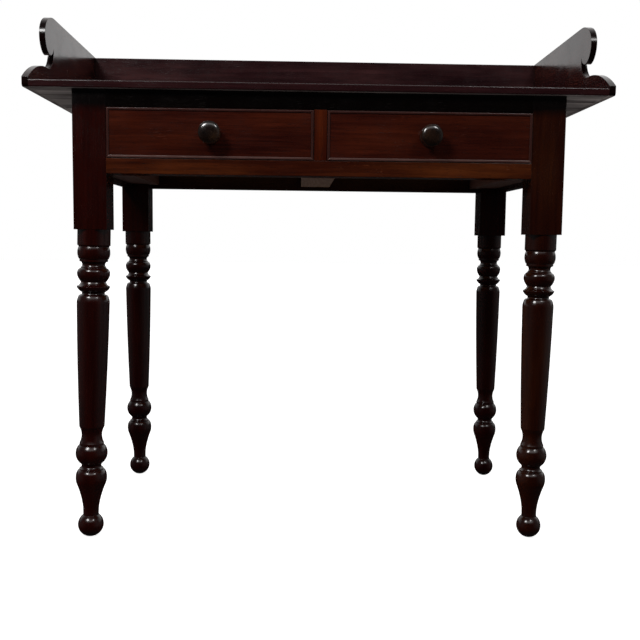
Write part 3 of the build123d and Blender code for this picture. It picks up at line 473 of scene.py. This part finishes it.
def leave_bare(node, grain, heart, tones):
    """Makes one CAD node planed wood with no finish. tones are the early wood, the late
    wood and what both turn with age."""
    early, late, aged = tones
    material, tree, shader = new_material("bare_" + node)
    where = along_grain(tree, node, grain, heart)
    figure = use_group(
        tree, wood_grain, {"Coordinates": where, "Ring Spacing": BARE_RINGS, "Wander": BARE_WANDER}
    )
    rings, streaks, clouds = figure["Rings"], figure["Streaks"], figure["Clouds"]
    late_share = product(tree, work_out(tree, "POWER", rings, LATE_RING_POWER), LATE_RING_SHARE)
    colour = blend_colours(tree, late_share, opaque(early), opaque(late))
    colour = blend_colours(tree, product(tree, streaks, LATE_STREAK_SHARE), colour, opaque(late))
    colour = blend_colours(tree, product(tree, clouds, AGED_SHARE), colour, opaque(aged))

    worn = use_group(tree, edge_rub, {"Coordinates": where, "Radius": BARE_RADIUS})
    dirt_and_shade = use_group(tree, hollow_dirt_and_shade, {"Coordinates": where, "Reach": BARE_DIRT_AND_SHADE_REACH})["Dirt And Shade"]
    ends = use_group(tree, end_grain, {"Grain Way": GRAIN_WAYS[grain]})["Share"]
    # Darkens worn edges, end grain and hollows; in the hollows this is partly dirt and partly
    # painted shade.
    darkened = work_out(
        tree, "MAXIMUM", product(tree, worn["Rub"], RUB_DARKENS),
        product(tree, dirt_and_shade, DIRT_AND_SHADE_DARKEN), product(tree, ends, ENDS_DARKEN),
    )
    colour = blend_colours(tree, darkened, colour, opaque(aged, DARKENED_SHADE))

    lines = work_out(tree, "ADD", product(tree, rings, RING_HEIGHT), streaks)
    relief = put(tree, "ShaderNodeBump", {
        "Height": lines, "Strength": BARE_RELIEF, "Distance": RELIEF_DEPTH,
        "Normal": worn["Soft Normal"],
    }).outputs[0]
    feed(tree, shader, {
        "Base Color": colour, "Roughness": spread(tree, streaks, (0.0, 1.0), (0.6, 0.8)),
        "Normal": relief, "Specular IOR Level": BARE_SPECULAR,
    })
    dress(node, material)


STRIP_SIDES = {
    "left": ((0.05, 0.005, -0.05), BROWN_STRIP),
    "right": ((-0.06, -0.006, -0.05), BROWN_STRIP),
    "centre": ((0.02, 0.002, -0.05), PALE_STRIP),
}
for strip in ("runner", "guide", "kicker"):
    for side, (heart, tones) in STRIP_SIDES.items():
        leave_bare(f"{strip}_{side}", "Y", heart, tones)

# --------------------------------------------------------- stops and rub blocks
# Small offcuts, bevelled and glued in: pinkish hardwood stops on the lower rail, and
# two softwood blocks rubbed in behind the back apron's top edge.
STOP_WOOD = ((0.42, 0.17, 0.11), (0.28, 0.1, 0.06), (0.2, 0.08, 0.05))
BLOCK_WOOD = ((0.3, 0.15, 0.07), (0.2, 0.09, 0.04), (0.12, 0.06, 0.03))
leave_bare("drawer_stops", "X", (0.3, 0.03, -0.04), STOP_WOOD)
leave_bare("glue_blocks", "X", (0.1, 0.03, -0.04), BLOCK_WOOD)

# -------------------------------------------------------------------------- top
# A wide board with a narrow one glued on along its front, stained and polished above
# and on its front edge, and left raw and grey below.
TOP_STAIN = ((0.016, 0.0035, 0.0045), (0.052, 0.014, 0.017), (0.068, 0.019, 0.019))
RAW_BELOW = ((0.66, 0.555, 0.52), (0.14, 0.102, 0.094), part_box("top_board_front")[1].y)
TOP_BOARDS = {"top_board_front": (0.1, 0.02, -0.1), "top_board_rear": (-0.15, 0.06, -0.16)}
for node, heart in TOP_BOARDS.items():
    polish_wood(node, "X", heart, TOP_STAIN, gloss=0.16, mottle=0.7, ripple=0.2, raw=RAW_BELOW)

# ---------------------------------------------------------------------- gallery
# Thin boards nailed round the ends and the back of the top, the ends sawn to a scroll
# in front. The sawn edges drank the stain and came out nearly black.
GALLERY_STAIN = ((0.014, 0.0018, 0.002), (0.04, 0.007, 0.007), (0.085, 0.022, 0.012))
GALLERY_BACK_STAIN = ((0.016, 0.004, 0.0055), (0.05, 0.0135, 0.0165), (0.12, 0.045, 0.045))
GALLERY_ENDS = {"gallery_left": (0.11, 0.0, 0.02), "gallery_right": (-0.13, 0.1, 0.03)}
for node, heart in GALLERY_ENDS.items():
    polish_wood(
        node, "Y", heart, GALLERY_STAIN, gloss=0.14, rub=0.3, mottle=0.8, end_dark=0.9,
        ripple=0.05, raw=RAW_BELOW,
    )
polish_wood(
    "gallery_back", "X", (0.1, -0.12, 0.03), GALLERY_BACK_STAIN, gloss=0.16, mottle=0.85,
    ripple=0.15, raw=RAW_BELOW,
)

# ------------------------------------------------------------- nails and screws
# Cut nails with flat heads driven flush, and wood screws sunk in their holes, all of
# iron that has gone dark, with brown rust in spots.
SCALE_GREY = (0.05, 0.045, 0.04, 1)
RUST_BROWN = (0.09, 0.035, 0.015, 1)
RUST_RELIEF, RUST_DEPTH = 0.3, 0.0002
IRONWORK = (
    "gallery_nails", "top_screws", "drawer_left_bottom_nails", "drawer_right_bottom_nails"
)
old_iron, iron_tree, iron_shader = new_material("old_iron")
spots = cloud(iron_tree, point(iron_tree), size=0.0016, detail=4)
rust = spread(iron_tree, spots, (0.4, 0.65))
rust_bump = put(iron_tree, "ShaderNodeBump", {
    "Height": rust, "Strength": RUST_RELIEF, "Distance": RUST_DEPTH,
})
feed(iron_tree, iron_shader, {
    "Base Color": blend_colours(iron_tree, rust, SCALE_GREY, RUST_BROWN),
    "Roughness": spread(iron_tree, rust, (0, 1), (0.4, 0.75)),
    "Metallic": spread(iron_tree, rust, (0, 1), (0.9, 0.3)),
    "Normal": rust_bump.outputs[0],
})
for node in IRONWORK:
    dress(node, old_iron)

# ---------------------------------------------------------------------- drawers
# Each drawer: a polished mahogany front with a cock bead let in round it and a turned
# knob, on dovetailed sides and back of unfinished honey-coloured wood, with a bottom
# of two boards feathered into grooves.
FRONT_STAIN = ((0.022, 0.0027, 0.0018), (0.094, 0.015, 0.0075), (0.125, 0.021, 0.0065))
BEAD_STAIN = ((0.04, 0.011, 0.009), (0.07, 0.023, 0.018), (0.1, 0.038, 0.03))
# Painted light: the bottom bead's lighter tones stand for the light falling on its upward face.
BOTTOM_BEAD_PAINTED_LIGHT = ((0.085, 0.035, 0.03), (0.165, 0.08, 0.068), (0.23, 0.125, 0.105))
KNOB_STAIN = ((0.006, 0.0022, 0.0014), (0.05, 0.019, 0.011), (0.12, 0.05, 0.019))
DRAWER_WOOD = ((0.5, 0.27, 0.1), (0.33, 0.14, 0.045), (0.26, 0.12, 0.045))
BOTTOM_WOOD = ((0.52, 0.26, 0.09), (0.36, 0.14, 0.04), (0.33, 0.14, 0.05))
BEADS = {
    "top": ("X", BEAD_STAIN), "bottom": ("X", BOTTOM_BEAD_PAINTED_LIGHT),
    "left": ("Z", BEAD_STAIN), "right": ("Z", BEAD_STAIN),
}
for drawer, side in (("drawer_left", 1), ("drawer_right", -1)):
    polish_wood(
        f"{drawer}_front", "X", (0.1 * side, 0.11, 0.02 * side), FRONT_STAIN,
        gloss=0.14, mottle=0.6, ripple=0.15,
    )
    # The beads' strong edge rub is partly wear and partly a painted highlight along their crests.
    for bead, (grain, tones) in BEADS.items():
        polish_wood(f"{drawer}_bead_{bead}", grain, (0.03 * side, 0.05, 0.03), tones, rub=0.8)
    polish_wood(
        f"{drawer}_knob", "Y", (0.02, 0.0, 0.015 * side), KNOB_STAIN,
        mottle=0.9, ripple=0.15, topcoat=1.0,
    )
    leave_bare(f"{drawer}_side_left", "Y", (0.07, 0.0, 0.02 * side), DRAWER_WOOD)
    leave_bare(f"{drawer}_side_right", "Y", (-0.06, 0.1, 0.01), DRAWER_WOOD)
    leave_bare(f"{drawer}_back", "X", (0.1, 0.05, 0.03 * side), DRAWER_WOOD)
    leave_bare(f"{drawer}_bottom_front", "X", (0.1 * side, 0.03, -0.05), BOTTOM_WOOD)
    leave_bare(f"{drawer}_bottom_rear", "X", (0.2, -0.02 * side, -0.06), BOTTOM_WOOD)

# -------------------------------------------------------- floor, light and camera
# A pale studio floor, two soft lights in front with a faint glow between them, grey
# walls at the sides and a pale backdrop behind. None of it belongs to the desk.
WHITE = (1, 1, 1, 1)
FLOOR_SIZE = 30.0
FLOOR_COLOUR = (0.82, 0.82, 0.81, 1)
FLOOR_ROUGHNESS = 0.8
bpy.ops.object.select_all(action="DESELECT")
bpy.ops.mesh.primitive_plane_add(size=FLOOR_SIZE, location=(0, 0, 0))
floor = bpy.context.object
floor.name = "floor"
floor_material, floor_tree, floor_shader = new_material("pale_floor")
distance = put(
    floor_tree, "ShaderNodeVectorMath", {0: point(floor_tree)}, operation="LENGTH"
).outputs["Value"]
feed(floor_tree, floor_shader, {
    "Base Color": FLOOR_COLOUR, "Roughness": FLOOR_ROUGHNESS, "Emission Color": WHITE,
    "Emission Strength": spread(floor_tree, distance, (0.8, 4.0), (0.86, 1.0)),
})
floor.data.materials.append(floor_material)
floor.visible_diffuse = False
floor.visible_glossy = False

LIGHT_TARGET = Vector((0, 0, 0.4))


def soft_light(name, place, size, power):
    """A square soft light that faces the desk."""
    lamp = bpy.data.lights.new(name, "AREA")
    lamp.shape = "SQUARE"
    lamp.size = size
    lamp.energy = power
    light = bpy.data.objects.new(name, lamp)
    light.location = place
    light.rotation_euler = (LIGHT_TARGET - Vector(place)).to_track_quat("-Z", "Y").to_euler()
    bpy.context.scene.collection.objects.link(light)


soft_light("light_left", (-1.16, -1.6, 2.0), size=0.62, power=23)
soft_light("light_right", (0.89, -1.43, 2.0), size=0.42, power=6)

# The surroundings as each kind of ray finds them: white for the camera; walls, backdrop
# and glow for what the polish mirrors; and a soft fill for what lights the wood.
world = bpy.data.worlds.new("surround")
bpy.context.scene.world = world
world.use_nodes = True
world.cycles.sampling_method = "NONE"
sky = world.node_tree
ways = parts_of(sky, point(sky, "Generated"))
sideways_share = work_out(sky, "ABSOLUTE", ways["X"])
walls = product(
    sky,
    spread(sky, ways["Y"], (-0.9, -0.35), (0.01, 0.085)),
    spread(sky, ways["Y"], (0.35, 0.9), (1.0, 0.12)),
    spread(sky, ways["X"], (-0.6, 0.6), (0.8, 1.3)),
    spread(sky, ways["Z"], (-0.45, -0.05), (0.15, 1.0)),
)
backdrop = product(
    sky,
    spread(sky, ways["Y"], (0.0, 0.75)),
    spread(sky, ways["Z"], (0.1, 0.17)),
    spread(sky, ways["X"], (-0.3, 0.3), (0.74, 0.87)),
)
between_lights = product(
    sky,
    spread(sky, ways["Z"], (0.5, 0.62)),
    spread(sky, ways["Z"], (0.86, 0.74)),
    spread(sky, ways["Y"], (-0.3, -0.45)),
    spread(sky, sideways_share, (0.65, 0.35), (0.0, 1.1)),
)
mirrored = work_out(sky, "ADD", walls, backdrop, between_lights)
from_sides = product(
    sky,
    spread(sky, sideways_share, (0.4, 0.9), (0.0, 1.2)),
    spread(sky, ways["Y"], (-0.5, 0.1)),
    spread(sky, ways["Z"], (-0.1, 0.15)),
)
fill = work_out(
    sky, "ADD",
    spread(sky, ways["Z"], (-0.3, 0.3), (0.12, 0.03)),
    spread(sky, ways["Y"], (0.1, 0.8), (0.0, 0.5)),
    from_sides,
)
rays = put(sky, "ShaderNodeLightPath").outputs
glow = blend_values(sky, rays["Is Diffuse Ray"], mirrored, fill)
glow = blend_values(sky, rays["Is Camera Ray"], glow, 1.0)
feed(sky, sky.nodes["Background"], {"Strength": glow, "Color": WHITE})

# The camera stands a little left of the desk's middle. Its angles are in radians, and
# its film and focal length in millimetres.
CAMERA_PLACE = (-0.0335, -1.585, 0.4934)
CAMERA_YAW = 0.02615
CAMERA_PITCH = 0.09404
CAMERA_ROLL = 0.01165
CAMERA_FILM = 36
CAMERA_LENS = 48.58
camera_data = bpy.data.cameras.new("camera")
camera_data.sensor_width = CAMERA_FILM
camera_data.lens = CAMERA_LENS
camera = bpy.data.objects.new("camera", camera_data)
aim = Euler((pi / 2 - CAMERA_PITCH, 0, -CAMERA_YAW)).to_matrix()
look = aim @ Matrix.Rotation(CAMERA_ROLL, 3, "Z")
camera.matrix_world = Matrix.Translation(CAMERA_PLACE) @ look.to_4x4()
bpy.context.scene.collection.objects.link(camera)
bpy.context.scene.camera = camera
bpy.context.scene.view_settings.view_transform = "Standard"
